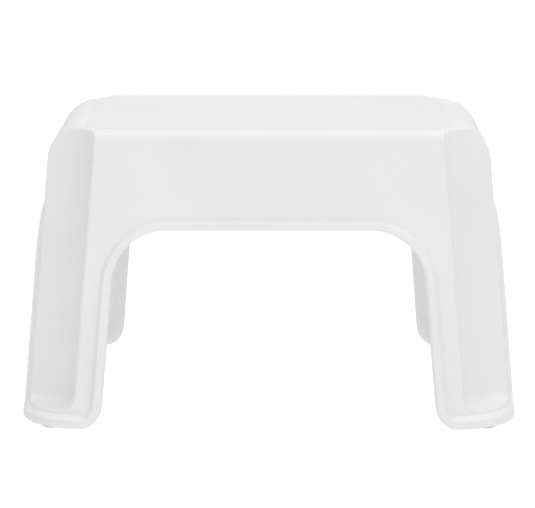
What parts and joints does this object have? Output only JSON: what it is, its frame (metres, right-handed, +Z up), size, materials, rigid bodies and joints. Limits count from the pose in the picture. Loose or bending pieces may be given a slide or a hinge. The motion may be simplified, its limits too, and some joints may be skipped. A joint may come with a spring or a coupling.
{
  "type": "step stool",
  "caption": "Low moulded plastic step stool with a flat rectangular tread, splayed channel legs with fluted corners, and rubber floor pads.",
  "frame": {"origin": "centre of the footprint, on the floor", "axes": "+X across the width, -Y towards the front, +Z up out of the tread"},
  "size_m": [0.3982, 0.2988, 0.235],
  "materials": {
    "shell_plastic": "satin white moulded polypropylene, with a fine moulded grip texture on the tread",
    "pad_rubber": "matt grey thermoplastic rubber"
  },
  "bodies": {
    "root": {"stool_shell": "shell_plastic", "pad_front_left": "pad_rubber", "pad_front_right": "pad_rubber", "pad_back_left": "pad_rubber", "pad_back_right": "pad_rubber"}
  },
  "joints": []
}
